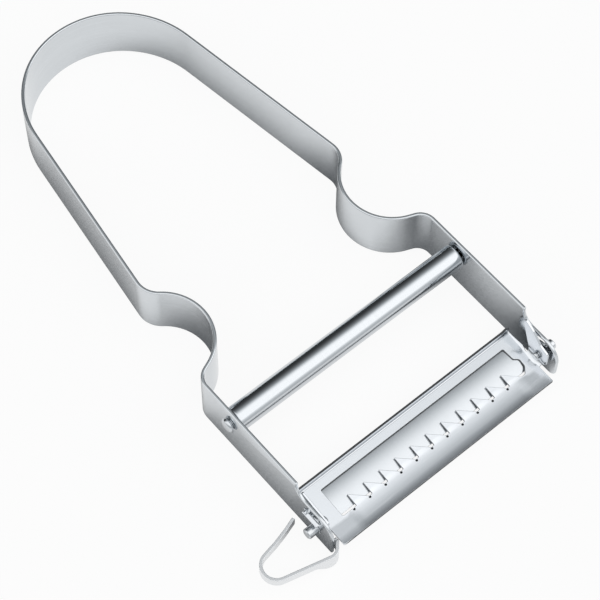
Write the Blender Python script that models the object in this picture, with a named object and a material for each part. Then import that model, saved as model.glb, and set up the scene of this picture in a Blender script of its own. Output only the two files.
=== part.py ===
"""Julienne peeler: a bent steel bow, a riveted cross bar, a swivelling toothed blade and an eye remover.

Metres, +Z up. The peeler lies flat on the lower edge of its bow strip, which is at Z = 0.
The origin is the middle of the bow's crown on that edge, and the arms run towards -Y.
"""
from math import atan2, cos, pi, radians, sin, tan

import bmesh
import bpy

# The bow strip: one flat band, bent on edge, followed along the middle of its thickness
STRIP_WIDTH = 0.0140
STRIP_THICKNESS = 0.0008
CROWN_RADIUS = 0.0204
CROWN_ANGLE = radians(45)
SHOULDER_RADIUS = 0.0227
ARM_FLARE = radians(7.8)
ARM_LENGTH = 0.0434
UPPER_BEND_RADIUS = 0.0054
UPPER_BEND_ANGLE = radians(60)
NOTCH_RADIUS = 0.0112
NOTCH_ANGLE = radians(120)
NOTCH_RUN = 0.0015
LOWER_BEND_RADIUS = 0.0036
LOWER_ARM_LENGTH = 0.0395

# The narrowed arm ends
STEP_FROM_END = 0.0110
STEP_DEPTH = 0.0013
TONGUE_SLOPE_RUN = 0.0030
TONGUE_HEIGHT = 0.0101
TONGUE_TOP_RADIUS = 0.0046
TONGUE_FOOT_RADIUS = 0.0016
LEFT_END_EXTRA = 0.0002
LEFT_FOOT_RADIUS = 0.0006

# The cross bar and its riveted ends
BAR_DIAMETER = 0.0058
BAR_FROM_END = 0.0316
BAR_HEIGHT = 0.0094
BAR_EDGE_RADIUS = 0.0005
TENON_DIAMETER = 0.0024
RIVET_DIAMETER = 0.0037
RIVET_HEIGHT = 0.0010

# The swivel: its axis on the arm ends, the pins on it and the stops
PIVOT_FROM_END = 0.0045
PIVOT_HEIGHT = 0.0046
PIN_DIAMETER = 0.0024
PIN_REACH = 0.0026
PIN_CHAMFER = 0.00025
PIN_TENON_DIAMETER = 0.0012
PIN_RIVET_DIAMETER = 0.0022
PIN_RIVET_HEIGHT = 0.0005
STOP_RADIUS = 0.0040
STOP_DIAMETER = 0.0011
STOP_REACH = 0.0008
STOP_REST_ANGLE = radians(44)
SWIVEL_TRAVEL = radians(50)

# The blade carrier: one sheet with a window, a stiffening flange, an upturned lip and two ears.
# Its distances are measured from the pivot axis, towards the bow and upwards.
CARRIER_THICKNESS = 0.0005
CARRIER_TILT = radians(7)
CARRIER_DROP = 0.0019
FLANGE_BACK = 0.0083
FLANGE_HEIGHT = 0.0011
FLANGE_BEND_RADIUS = 0.0006
WINDOW_BACK = 0.0059
WINDOW_FRONT = -0.0011
SIDE_BAR_WIDTH = 0.0045
LIP_START = -0.0014
LIP_RADIUS = 0.0182
LIP_CURL = radians(14)
LIP_SETBACK = 0.0009
LIP_SHOULDER = -0.0016
EAR_TO_ARM = 0.0006
EAR_FOLD_OVERLAP = 0.0002
EAR_CORNERS = [
    (-0.0016, -0.0026, 0.0006),
    (0.0011, -0.0026, 0.0006),
    (0.0022, -0.0012, 0.0010),
    (0.0058, 0.0082, 0.0007),
    (0.0022, 0.0069, 0.0010),
    (-0.0004, 0.0041, 0.0015),
    (-0.0027, 0.0033, 0.0010),
    (-0.0026, -0.0016, 0.0006),
]

# The teeth, along the front of the window, barely bent up from the sheet
TOOTH_COUNT = 11
TOOTH_PITCH = 0.00423
TOOTH_LENGTH = 0.0030
TOOTH_BASE = 0.0034
TOOTH_OFFSET = -0.0004
TOOTH_BEND = radians(2.5)
TOOTH_TWIST = 0.00005
TOOTH_ROOT = 0.0003
RELIEF_WIDTH = 0.0009
RELIEF_DEPTH = 0.0003

# The slicing blade: a thin arched plate in the window, fixed under the carrier's back
SLICER_THICKNESS = 0.0005
SLICER_LAP = 0.0021
SLICER_ARCH = 0.0003
SLICER_EDGE_SETBACK = 0.0008
SLICER_EDGE_DROP = 0.00098

# The eye remover: a narrow strip bent into a loop beside the left arm's end, wider where it is fixed
LOOP_THICKNESS = 0.0007
LOOP_TOP = 0.0046
LOOP_WIDTH = 0.0024
LOOP_ROOT_WIDTH = 0.0044
LOOP_TAB_WIDTH = 0.0041
LOOP_TAB_LENGTH = 0.0007
LOOP_INNER_BEND_RADIUS = 0.0006
LOOP_INNER_BEND_ANGLE = radians(41)
LOOP_CROSSING = 0.0014
LOOP_OUTER_BEND_RADIUS = 0.0022
LOOP_OUTER_BEND_ANGLE = radians(63.6)
LOOP_ROOT_LENGTH = 0.0010
LOOP_TAPER_LENGTH = 0.0022
LOOP_FRONT_LEG = 0.0073
LOOP_NOSE_RADIUS = 0.0032
LOOP_NOSE_ANGLE = radians(157)
LOOP_BACK_LEG_RADIUS = 0.0490
LOOP_BACK_LEG_ANGLE = radians(11.5)

# Gaps between pieces
GAP = 0.0003

# How finely curves are divided
ARC_STEP = radians(5)
SMALL_ARC_STEP = radians(15)
SMALL_ARC_RADIUS = 0.0015
ROUND_SIDES = 32
SMALL_ROUND_SIDES = 24
DOME_STEPS = 5
SMOOTH_ANGLE = radians(32)


def steps_for(angle, radius):
    """Number of straight steps that an arc is divided into."""
    step = ARC_STEP if radius > SMALL_ARC_RADIUS else SMALL_ARC_STEP
    return max(2, int(abs(angle) / step + 0.5))


def chain(start, heading, pieces):
    """Points along straight runs ("line", length) and bends ("arc", radius, angle), left turns positive."""
    x, y = start
    points = [(x, y, heading)]
    for piece in pieces:
        if piece[0] == "line":
            x += piece[1] * cos(heading)
            y += piece[1] * sin(heading)
            points.append((x, y, heading))
            continue
        radius, angle = piece[1], piece[2]
        count = steps_for(angle, radius)
        turn = angle / count
        for _ in range(count):
            reach = 2 * radius * sin(abs(turn) / 2)
            x += reach * cos(heading + turn / 2)
            y += reach * sin(heading + turn / 2)
            heading += turn
            points.append((x, y, heading))
    return points


def bow_half():
    """The right half of the bow in plan, from the crown to the arm's end."""
    last_bend = ARM_FLARE - UPPER_BEND_ANGLE + NOTCH_ANGLE
    return chain((0.0, 0.0), 0.0, [
        ("arc", CROWN_RADIUS, -CROWN_ANGLE),
        ("arc", SHOULDER_RADIUS, -(pi / 2 - ARM_FLARE - CROWN_ANGLE)),
        ("line", ARM_LENGTH),
        ("arc", UPPER_BEND_RADIUS, -UPPER_BEND_ANGLE),
        ("arc", NOTCH_RADIUS, NOTCH_ANGLE),
        ("line", NOTCH_RUN),
        ("arc", LOWER_BEND_RADIUS, -last_bend),
        ("line", LOWER_ARM_LENGTH),
    ])


# Places that follow from the bow
BOW = bow_half()
ARM_X, ARM_END_Y = BOW[-1][0], BOW[-1][1]
INNER_X = ARM_X - STRIP_THICKNESS / 2
OUTER_X = ARM_X + STRIP_THICKNESS / 2
BAR_Y = ARM_END_Y + BAR_FROM_END
PIVOT_Y = ARM_END_Y + PIVOT_FROM_END
EAR_OUTER_X = INNER_X - EAR_TO_ARM
EAR_INNER_X = EAR_OUTER_X - CARRIER_THICKNESS
CARRIER_END_X = EAR_INNER_X + EAR_FOLD_OVERLAP
LIP_END_X = CARRIER_END_X - LIP_SETBACK
WINDOW_X = CARRIER_END_X - SIDE_BAR_WIDTH
BEYOND = 2 * OUTER_X


def material(name, colour, metallic, roughness):
    """A Principled BSDF material of one colour."""
    made = bpy.data.materials.new(name)
    made.use_nodes = True
    shader = made.node_tree.nodes["Principled BSDF"]
    shader.inputs["Base Color"].default_value = (*colour, 1.0)
    shader.inputs["Metallic"].default_value = metallic
    shader.inputs["Roughness"].default_value = roughness
    made.diffuse_color = (*colour, 1.0)
    return made


def add_object(name, vertices, faces, surface):
    """A mesh object whose faces point outwards."""
    mesh = bpy.data.meshes.new(name)
    mesh.from_pydata(vertices, [], faces)
    work = bmesh.new()
    work.from_mesh(mesh)
    bmesh.ops.recalc_face_normals(work, faces=work.faces)
    work.to_mesh(mesh)
    work.free()
    mesh.shade_smooth()
    mesh.set_sharp_from_angle(angle=SMOOTH_ANGLE)
    made = bpy.data.objects.new(name, mesh)
    bpy.context.collection.objects.link(made)
    if surface:
        mesh.materials.append(surface)
    return made


def prism(name, outline, axis, low, high, surface=None):
    """A solid with a flat outline, carried along X or Z from low to high."""
    def place(point, level):
        return (level, *point) if axis == "X" else (*point, level)

    count = len(outline)
    vertices = [place(p, low) for p in outline] + [place(p, high) for p in outline]
    faces = [tuple(range(count)), tuple(range(2 * count - 1, count - 1, -1))]
    faces += [(i, (i + 1) % count, count + (i + 1) % count, count + i) for i in range(count)]
    return add_object(name, vertices, faces, surface)


def turned(name, profile, centre, sides, surface=None):
    """A solid turned about the X direction through centre (y, z); its profile is (x, radius), pole to pole."""
    rings = profile[1:-1]
    vertices = [(profile[0][0], *centre)]
    for x, radius in rings:
        for i in range(sides):
            angle = 2 * pi * i / sides
            vertices.append((x, centre[0] + radius * cos(angle), centre[1] + radius * sin(angle)))
    vertices.append((profile[-1][0], *centre))
    last = len(vertices) - 1
    faces = []
    for i in range(sides):
        after = (i + 1) % sides
        faces.append((0, 1 + i, 1 + after))
        for ring in range(len(rings) - 1):
            low, high = 1 + ring * sides, 1 + (ring + 1) * sides
            faces.append((low + i, high + i, high + after, low + after))
        top = 1 + (len(rings) - 1) * sides
        faces.append((last, top + after, top + i))
    return add_object(name, vertices, faces, surface)


def ribbon(name, path, thickness, levels, surface):
    """A band standing on edge along a plan path; levels gives the low and high Z at each point."""
    vertices = []
    for (x, y, heading), (low, high) in zip(path, levels):
        across = (-sin(heading) * thickness / 2, cos(heading) * thickness / 2)
        for side, level in ((1, low), (1, high), (-1, high), (-1, low)):
            vertices.append((x + side * across[0], y + side * across[1], level))
    faces = [(0, 1, 2, 3)]
    for i in range(len(path) - 1):
        here, there = 4 * i, 4 * (i + 1)
        for a in range(4):
            b = (a + 1) % 4
            faces.append((here + a, here + b, there + b, there + a))
    end = 4 * (len(path) - 1)
    faces.append((end + 3, end + 2, end + 1, end))
    return add_object(name, vertices, faces, surface)


def arc_points(centre, radius, start, end):
    """Points on an arc, both ends included."""
    count = steps_for(end - start, radius)
    return [(centre[0] + radius * cos(start + (end - start) * i / count),
             centre[1] + radius * sin(start + (end - start) * i / count)) for i in range(count + 1)]


def sheet_outline(path, thickness):
    """The cross-section of a sheet whose middle follows the path."""
    above = [(x - sin(h) * thickness / 2, y + cos(h) * thickness / 2) for x, y, h in path]
    below = [(x + sin(h) * thickness / 2, y - cos(h) * thickness / 2) for x, y, h in path]
    return above + below[::-1]


def combine(target, tool, operation):
    """Adds a live Boolean; the tool stays as a wire guide."""
    tool.hide_render = True
    tool.display_type = "WIRE"
    step = target.modifiers.new(tool.name, "BOOLEAN")
    step.operation = operation
    step.solver = "EXACT"
    step.object = tool


def cut(target, tool):
    """Cuts the tool out of the target."""
    combine(target, tool, "DIFFERENCE")


def rounded(corners):
    """A closed outline through corners (u, v, radius), each rounded by an arc."""
    points = []
    for i, (u, v, radius) in enumerate(corners):
        before, after = corners[i - 1], corners[(i + 1) % len(corners)]
        arrive = atan2(v - before[1], u - before[0])
        leave = atan2(after[1] - v, after[0] - u)
        turn = (leave - arrive + pi) % (2 * pi) - pi
        setback = radius * tan(abs(turn) / 2)
        start = (u - setback * cos(arrive), v - setback * sin(arrive))
        points += [p[:2] for p in chain(start, arrive, [("arc", radius, turn)])]
    return points


def circle(centre, radius, sides=SMALL_ROUND_SIDES):
    """A closed circle as outline points."""
    return [(centre[0] + radius * cos(2 * pi * i / sides),
             centre[1] + radius * sin(2 * pi * i / sides)) for i in range(sides)]


def bent_slot(centre, radius, half_width, start, end):
    """A slot with round ends that follows an arc."""
    first = (centre[0] + radius * cos(start), centre[1] + radius * sin(start))
    last = (centre[0] + radius * cos(end), centre[1] + radius * sin(end))
    return (arc_points(centre, radius + half_width, start, end)
            + arc_points(last, half_width, end, end + pi)[1:]
            + arc_points(centre, radius - half_width, end, start)[1:]
            + arc_points(first, half_width, start + pi, start + 2 * pi)[1:-1])


def arm_end_waste(extra, foot_radius):
    """What is cut off an arm's end: above the step and its curved descent, and around the rounded tongue."""
    clear = STRIP_WIDTH
    step_y = ARM_END_Y + STEP_FROM_END
    level_y = step_y - TONGUE_SLOPE_RUN
    sweep = 2 * atan2(STRIP_WIDTH - STEP_DEPTH - TONGUE_HEIGHT, TONGUE_SLOPE_RUN)
    sag_radius = TONGUE_SLOPE_RUN / sin(sweep)
    sag = arc_points((level_y, TONGUE_HEIGHT + sag_radius), sag_radius, -pi / 2 + sweep, -pi / 2)
    tip_y = ARM_END_Y - extra
    top_centre = (tip_y + TONGUE_TOP_RADIUS, TONGUE_HEIGHT - TONGUE_TOP_RADIUS)
    top = arc_points(top_centre, TONGUE_TOP_RADIUS, pi / 2, pi)
    foot_centre = (tip_y + foot_radius, foot_radius)
    foot = arc_points(foot_centre, foot_radius, pi, 3 * pi / 2)
    around = [(foot[-1][0], -clear), (ARM_END_Y - clear, -clear), (ARM_END_Y - clear, STRIP_WIDTH + clear)]
    return [(step_y, STRIP_WIDTH + clear)] + sag + top + foot + around


def make_bow(surface):
    """The bent strip, with its arm ends trimmed and its bar, pin and stop holes cut."""
    left = [(-x, y, -heading) for x, y, heading in BOW[:0:-1]]
    left[0] = (left[0][0], left[0][1] - LEFT_END_EXTRA, left[0][2])
    path = left + BOW
    bow = ribbon("bow_handle", path, STRIP_THICKNESS, [(0.0, STRIP_WIDTH)] * len(path), surface)
    pivot = (PIVOT_Y, PIVOT_HEIGHT)
    left_waste = arm_end_waste(LEFT_END_EXTRA, LEFT_FOOT_RADIUS)
    cut(bow, prism("left_end_waste", left_waste, "X", -BEYOND, 0.0))
    right_waste = arm_end_waste(0.0, TONGUE_FOOT_RADIUS)
    cut(bow, prism("right_end_waste", right_waste, "X", 0.0, BEYOND))
    bar_hole = circle((BAR_Y, BAR_HEIGHT), TENON_DIAMETER / 2 + GAP)
    cut(bow, prism("bar_holes", bar_hole, "X", -BEYOND, BEYOND))
    pin_hole = circle(pivot, PIN_DIAMETER / 2 + GAP)
    cut(bow, prism("pin_holes", pin_hole, "X", -BEYOND, BEYOND))
    stop_slot = bent_slot(pivot, STOP_RADIUS, STOP_DIAMETER / 2 + GAP,
                          STOP_REST_ANGLE, STOP_REST_ANGLE + SWIVEL_TRAVEL)
    cut(bow, prism("stop_slots", stop_slot, "X", -BEYOND, BEYOND))
    return bow


def dome(base_x, diameter, height):
    """The profile of a rounded rivet head, from its rim to its pole."""
    turns = [pi / 2 * i / (DOME_STEPS + 1) for i in range(DOME_STEPS + 1)]
    return [(base_x + height * sin(t), diameter / 2 * cos(t)) for t in turns] + [(base_x + height, 0.0)]


def make_bar(surface):
    """A round bar whose reduced ends pass through the arms and are riveted over outside them."""
    radius = BAR_DIAMETER / 2
    shoulder_x = INNER_X - GAP
    head_x = OUTER_X + GAP
    edge_centre = (shoulder_x - BAR_EDGE_RADIUS, radius - BAR_EDGE_RADIUS)
    edge = arc_points(edge_centre, BAR_EDGE_RADIUS, pi / 2, 0.0)
    tenon = [(shoulder_x, TENON_DIAMETER / 2), (head_x, TENON_DIAMETER / 2)]
    half = edge + tenon + dome(head_x, RIVET_DIAMETER, RIVET_HEIGHT)
    profile = [(-x, r) for x, r in half[::-1]] + half
    return turned("cross_bar", profile, (BAR_Y, BAR_HEIGHT), ROUND_SIDES, surface)


def sheet_height(y):
    """Height of the middle of the carrier's flat sheet above the pivot axis, at a distance y behind it."""
    return (y - LIP_START) * tan(CARRIER_TILT) - CARRIER_DROP


def carrier_path():
    """The middle of the carrier's sheet in (y, z) about the pivot axis, from lip edge to flange top."""
    start = (LIP_START, sheet_height(LIP_START))
    bend_depth = FLANGE_BEND_RADIUS * (1 - sin(CARRIER_TILT))
    lip = chain(start, pi + CARRIER_TILT, [("arc", LIP_RADIUS, -LIP_CURL)])
    back = chain(start, CARRIER_TILT, [
        ("line", (FLANGE_BACK - LIP_START - bend_depth) / cos(CARRIER_TILT)),
        ("arc", FLANGE_BEND_RADIUS, pi / 2 - CARRIER_TILT),
        ("line", FLANGE_HEIGHT),
    ])
    return [(y, z, heading - pi) for y, z, heading in lip[:0:-1]] + back


def tooth_sides():
    """Where the upright side of each tooth stands along X."""
    return [TOOTH_OFFSET + (i - (TOOTH_COUNT - 1) / 2) * TOOTH_PITCH for i in range(TOOTH_COUNT)]


def window_outline():
    """The window in plan, with a small relief beside the foot of every tooth."""
    points = [(WINDOW_X, WINDOW_FRONT), (WINDOW_X, WINDOW_BACK), (-WINDOW_X, WINDOW_BACK),
              (-WINDOW_X, WINDOW_FRONT)]
    for side in tooth_sides():
        floor = WINDOW_FRONT - RELIEF_DEPTH
        points += [(side - RELIEF_WIDTH, WINDOW_FRONT), (side - RELIEF_WIDTH / 4, floor)]
        points += [(side, floor), (side, WINDOW_FRONT)]
    return points


def make_teeth():
    """The pointed teeth as one mesh: each rises a little from its base, more so on its upright side."""
    vertices, faces = [], []
    for side in tooth_sides():
        plan = [
            (0.0, WINDOW_FRONT),
            (TOOTH_ROOT, WINDOW_FRONT - TOOTH_ROOT),
            (TOOTH_BASE - TOOTH_ROOT, WINDOW_FRONT - TOOTH_ROOT),
            (TOOTH_BASE, WINDOW_FRONT),
            (0.0, WINDOW_FRONT + TOOTH_LENGTH),
        ]
        first = len(vertices)
        count = len(plan)
        for level in (-CARRIER_THICKNESS / 2, CARRIER_THICKNESS / 2):
            for x, y in plan:
                bend = max(0.0, y - WINDOW_FRONT) * tan(TOOTH_BEND)
                twist = TOOTH_TWIST * (1 - x / TOOTH_BASE)
                vertices.append((side + x, y, sheet_height(y) + bend + twist + level))
        low = range(first, first + count)
        high = range(first + count, first + 2 * count)
        faces += [(low[0], low[1], low[2], low[3]), (low[0], low[3], low[4])]
        faces += [(high[0], high[1], high[2], high[3]), (high[0], high[3], high[4])]
        faces += [(low[i], low[(i + 1) % count], high[(i + 1) % count], high[i]) for i in range(count)]
    return add_object("teeth", vertices, faces, None)


def make_carrier(surface, pivot):
    """The sheet-metal carrier with its window, teeth, lip, ears and stop pegs."""
    outline = sheet_outline(carrier_path(), CARRIER_THICKNESS)
    carrier = prism("blade_carrier", outline, "X", -CARRIER_END_X, CARRIER_END_X, surface)
    guides = []

    def apply(operation, tool):
        combine(carrier, tool, operation)
        guides.append(tool)

    apply("DIFFERENCE", prism("window", window_outline(), "Z", -STRIP_WIDTH, STRIP_WIDTH))
    stop = (STOP_RADIUS * cos(STOP_REST_ANGLE), STOP_RADIUS * sin(STOP_REST_ANGLE))
    lip_corner = [(-STRIP_WIDTH, -STRIP_WIDTH), (LIP_SHOULDER, -STRIP_WIDTH),
                  (LIP_SHOULDER, STRIP_WIDTH), (-STRIP_WIDTH, STRIP_WIDTH)]
    ear = rounded(EAR_CORNERS)
    peg = circle(stop, STOP_DIAMETER / 2)
    peg_root_x = (EAR_INNER_X + EAR_OUTER_X) / 2
    peg_tip_x = OUTER_X + STOP_REACH
    for side, name in ((-1, "left"), (1, "right")):
        apply("DIFFERENCE", prism("lip_corner_" + name, lip_corner, "X", side * LIP_END_X, side * BEYOND))
        apply("UNION", prism("ear_" + name, ear, "X", side * EAR_INNER_X, side * EAR_OUTER_X))
        apply("UNION", prism("stop_peg_" + name, peg, "X", side * peg_root_x, side * peg_tip_x))
    apply("UNION", make_teeth())
    pin_hole = circle((0.0, 0.0), PIN_TENON_DIAMETER / 2 + GAP)
    apply("DIFFERENCE", prism("ear_pin_holes", pin_hole, "X", -BEYOND, BEYOND))
    for piece in [carrier] + guides:
        piece.parent = pivot
    return carrier


def slicer_path():
    """The middle of the slicing blade in (y, z): arched behind its front edge, then flat under the back."""
    below = CARRIER_THICKNESS / 2 + GAP + SLICER_THICKNESS / 2
    edge_y = WINDOW_FRONT + SLICER_EDGE_SETBACK
    edge = (edge_y, sheet_height(edge_y) - SLICER_EDGE_DROP)
    back = (WINDOW_BACK, sheet_height(WINDOW_BACK) - below)
    run, rise = back[0] - edge[0], back[1] - edge[1]
    chord = (run ** 2 + rise ** 2) ** 0.5
    half_turn = 2 * atan2(SLICER_ARCH, chord / 2)
    radius = chord / 2 / sin(half_turn)
    arch = chain(edge, atan2(rise, run) + half_turn, [("arc", radius, -2 * half_turn)])
    lap = SLICER_LAP / cos(CARRIER_TILT)
    return arch[:-1] + chain(back, CARRIER_TILT, [("line", lap)])


def make_slicer(surface, pivot):
    """The thin arched plate whose front edge lifts the slice that the teeth divide."""
    half_length = WINDOW_X - GAP
    outline = sheet_outline(slicer_path(), SLICER_THICKNESS)
    blade = prism("slicing_blade", outline, "X", -half_length, half_length, surface)
    blade.parent = pivot
    return blade


def make_pin(side, surface, pivot):
    """A pin on the swivel's axis: its shank turns in the arm and its tenon is riveted inside the ear."""
    radius = PIN_DIAMETER / 2
    tenon = PIN_TENON_DIAMETER / 2
    shoulder = EAR_OUTER_X + GAP
    head_x = EAR_INNER_X - GAP
    tip = OUTER_X + PIN_REACH
    inner = dome(head_x, PIN_RIVET_DIAMETER, -PIN_RIVET_HEIGHT)[::-1]
    outer = [(head_x, tenon), (shoulder, tenon), (shoulder, radius), (tip - PIN_CHAMFER, radius),
             (tip, radius - PIN_CHAMFER), (tip, 0.0)]
    name = "pivot_pin_right" if side > 0 else "pivot_pin_left"
    profile = [(side * x, r) for x, r in inner + outer]
    pin = turned(name, profile, (0.0, 0.0), SMALL_ROUND_SIDES, surface)
    pin.parent = pivot
    return pin


def make_eye_remover(surface):
    """A strip fixed inside the left arm's end, bent round it and looped back beside the arm."""
    tab_x = -(INNER_X - GAP - LOOP_THICKNESS / 2)
    tab_y = ARM_END_Y - LEFT_END_EXTRA + LOOP_TAB_LENGTH
    path = chain((tab_x, tab_y), -pi / 2, [
        ("line", LOOP_TAB_LENGTH),
        ("arc", LOOP_INNER_BEND_RADIUS, -LOOP_INNER_BEND_ANGLE),
        ("line", LOOP_CROSSING),
        ("arc", LOOP_OUTER_BEND_RADIUS, -LOOP_OUTER_BEND_ANGLE),
        ("line", LOOP_ROOT_LENGTH),
        ("line", LOOP_TAPER_LENGTH),
        ("line", LOOP_FRONT_LEG),
        ("arc", LOOP_NOSE_RADIUS, -LOOP_NOSE_ANGLE),
        ("arc", LOOP_BACK_LEG_RADIUS, LOOP_BACK_LEG_ANGLE),
    ])
    inner_points = steps_for(LOOP_INNER_BEND_ANGLE, LOOP_INNER_BEND_RADIUS)
    outer_points = steps_for(LOOP_OUTER_BEND_ANGLE, LOOP_OUTER_BEND_RADIUS)
    root_foot = LOOP_TOP - LOOP_ROOT_WIDTH
    levels = [(root_foot, root_foot + LOOP_TAB_WIDTH)] * 2
    levels += [(root_foot, LOOP_TOP)] * (inner_points + 1 + outer_points + 1)
    levels += [(LOOP_TOP - LOOP_WIDTH, LOOP_TOP)] * (len(path) - len(levels))
    return ribbon("eye_remover", path, LOOP_THICKNESS, levels, surface)


def main():
    """Clears the scene and builds every piece."""
    for old in list(bpy.data.objects):
        bpy.data.objects.remove(old)
    strip_steel = material("satin_strip_steel", (0.62, 0.63, 0.65), 1.0, 0.34)
    bar_steel = material("polished_bar_steel", (0.72, 0.73, 0.75), 1.0, 0.12)
    sheet_steel = material("bright_sheet_steel", (0.74, 0.75, 0.77), 1.0, 0.26)
    blade_steel = material("ground_blade_steel", (0.66, 0.67, 0.69), 1.0, 0.22)
    pin_steel = material("turned_pin_steel", (0.55, 0.56, 0.58), 1.0, 0.25)
    loop_steel = material("narrow_strip_steel", (0.70, 0.71, 0.72), 1.0, 0.38)
    make_bow(strip_steel)
    make_bar(bar_steel)
    pivot = bpy.data.objects.new("blade_pivot", None)
    pivot.location = (0.0, PIVOT_Y, PIVOT_HEIGHT)
    bpy.context.collection.objects.link(pivot)
    make_carrier(sheet_steel, pivot)
    make_slicer(blade_steel, pivot)
    for side in (-1, 1):
        make_pin(side, pin_steel, pivot)
    make_eye_remover(loop_steel)


main()
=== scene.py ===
"""Looks of the julienne peeler: each node of the part is replaced by a closely modelled steel piece.

Lengths are worked out in millimetres, in the part's own frame, and turn into metres when a mesh is made.
"""

import bpy
import numpy as np
from mathutils import Matrix, Vector
from mathutils.geometry import delaunay_2d_cdt


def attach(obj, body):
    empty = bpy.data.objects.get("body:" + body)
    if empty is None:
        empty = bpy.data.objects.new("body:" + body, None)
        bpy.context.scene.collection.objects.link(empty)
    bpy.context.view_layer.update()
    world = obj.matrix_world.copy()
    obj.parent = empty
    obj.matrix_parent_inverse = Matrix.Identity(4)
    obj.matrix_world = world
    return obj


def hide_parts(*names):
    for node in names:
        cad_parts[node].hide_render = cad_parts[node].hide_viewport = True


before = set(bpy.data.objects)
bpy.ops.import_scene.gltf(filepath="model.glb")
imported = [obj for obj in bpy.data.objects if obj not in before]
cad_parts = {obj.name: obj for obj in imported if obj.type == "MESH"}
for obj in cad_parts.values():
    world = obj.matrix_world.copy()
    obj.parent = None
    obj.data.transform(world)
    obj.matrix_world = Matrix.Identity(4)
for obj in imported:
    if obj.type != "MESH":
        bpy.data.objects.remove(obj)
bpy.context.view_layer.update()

MM = 0.001
PI = np.pi
# Tolerances: a point on a level, a crossing's product of distances, and the rise of a level segment
ON_LEVEL, CROSSING, NO_RISE = 1e-6, 1e-9, 1e-12


# ---------------------------------------------------------------------------------------------
# Lines and outlines
# ---------------------------------------------------------------------------------------------

def bend(radius, degrees):
    """A bend as (length, turn): length = radius * |turn|, with left turns positive."""
    turn = np.radians(degrees)
    return radius * abs(turn), turn


def straight(length):
    """A straight run as (length, turn)."""
    return length, 0.0


class Line:
    """A flat line of straight runs and bends.

    Inside a run, half = turn made so far / 2, and the place is start + chord in the direction heading + half,
    with chord = distance * sin(half) / half.
    """

    def __init__(self, start, heading, runs):
        lengths, turns = np.array(runs, float).T
        self.lengths, self.turns = lengths, turns
        self.stations = np.concatenate([[0.0], np.cumsum(lengths)])
        self.headings = heading + np.concatenate([[0.0], np.cumsum(turns)])
        middle = self.headings[:-1] + turns / 2
        chord = lengths * np.sinc(turns / 2 / PI)
        self.x = start[0] + np.concatenate([[0.0], np.cumsum(chord * np.cos(middle))])
        self.y = start[1] + np.concatenate([[0.0], np.cumsum(chord * np.sin(middle))])

    @property
    def length(self):
        """The whole line's length."""
        return self.stations[-1]

    def at(self, distance):
        """x, y and heading at these distances along the line."""
        run = np.clip(np.searchsorted(self.stations, distance, side="right") - 1, 0, len(self.turns) - 1)
        ahead = distance - self.stations[run]
        half = self.turns[run] * ahead / self.lengths[run] / 2
        chord = ahead * np.sinc(half / PI)
        toward = self.headings[run] + half
        return self.x[run] + chord * np.cos(toward), self.y[run] + chord * np.sin(toward), toward + half

    def stops(self, degrees=3.0):
        """Distances that divide the line: each bend in equal steps of no more than that turn."""
        counts = np.maximum(1, np.ceil(np.abs(self.turns) / np.radians(degrees))).astype(int)
        inner = [a + (b - a) * np.arange(n) / n for a, b, n in zip(self.stations, self.stations[1:], counts)]
        return np.concatenate(inner + [[self.length]])


def rounded(corners, steps=8, closed=True):
    """Outline through corners (u, v, radius); rows are (u, v, du, dv).

    For a share t of a corner's turn the point is arc start + chord, with chord = 2 radius |sin(t turn / 2)|
    in the direction arriving + t turn / 2.
    """
    c = np.array(corners, float)
    step = np.roll(c[:, :2], -1, axis=0) - c[:, :2]
    leaving = np.arctan2(step[:, 1], step[:, 0])
    arriving = np.roll(leaving, 1)
    if not closed:
        arriving[0], leaving[-1] = leaving[0], arriving[-1]
    turn = (leaving - arriving + PI) % (2 * PI) - PI
    setback = c[:, 2] * np.tan(np.abs(turn) / 2)
    half = turn[:, None] * np.linspace(0, 1, steps + 1) / 2
    toward = arriving[:, None] + half
    chord = 2 * c[:, 2, None] * np.abs(np.sin(half))
    u = (c[:, 0] - setback * np.cos(arriving))[:, None] + chord * np.cos(toward)
    v = (c[:, 1] - setback * np.sin(arriving))[:, None] + chord * np.sin(toward)
    heading = toward + half
    rows = np.stack([u, v, np.cos(heading), np.sin(heading)], axis=-1).reshape(-1, 4)
    if closed:
        return rows
    return np.concatenate([rows[steps:steps + 1], rows[steps + 1:-steps - 1], rows[-1:]])


def round_hole(centre, radius, sides=36):
    """A round hole, clockwise: (u, v) = centre + radius (cos a, sin a) with a falling."""
    a = -2 * PI * np.arange(sides) / sides
    u, v = centre[0] + radius * np.cos(a), centre[1] + radius * np.sin(a)
    return np.stack([u, v, np.sin(a), -np.cos(a)], axis=1)


def bent_slot(centre, radius, half_width, first, last, steps=12):
    """A slot with round ends along an arc, clockwise: along its outer side, then back along its inner one."""
    t = np.linspace(0, 1, steps + 1)[:, None]

    def arc(middle, size, start, end, inward):
        """Rows along an arc: place = middle + size (cos a, sin a), and the way that the outline runs."""
        a = np.radians(start + (end - start) * t)
        side = -1.0 if inward else 1.0
        spot = np.hstack([middle[0] + size * np.cos(a), middle[1] + size * np.sin(a)])
        return np.hstack([spot, side * np.sin(a), -side * np.cos(a)])

    def on_arc(degrees):
        """The middle of a round end."""
        a = np.radians(degrees)
        return centre[0] + radius * np.cos(a), centre[1] + radius * np.sin(a)

    return np.concatenate([
        arc(centre, radius + half_width, last, first, False),
        arc(on_arc(first), half_width, first, first - 180, False)[1:],
        arc(centre, radius - half_width, first, last, True)[1:],
        arc(on_arc(last), half_width, last + 180, last, False)[1:-1],
    ])


def mirrored(loop):
    """The same outline on the other side of u = 0, still running the same way round."""
    return loop[::-1] * np.array([-1.0, 1.0, 1.0, -1.0])


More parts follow.
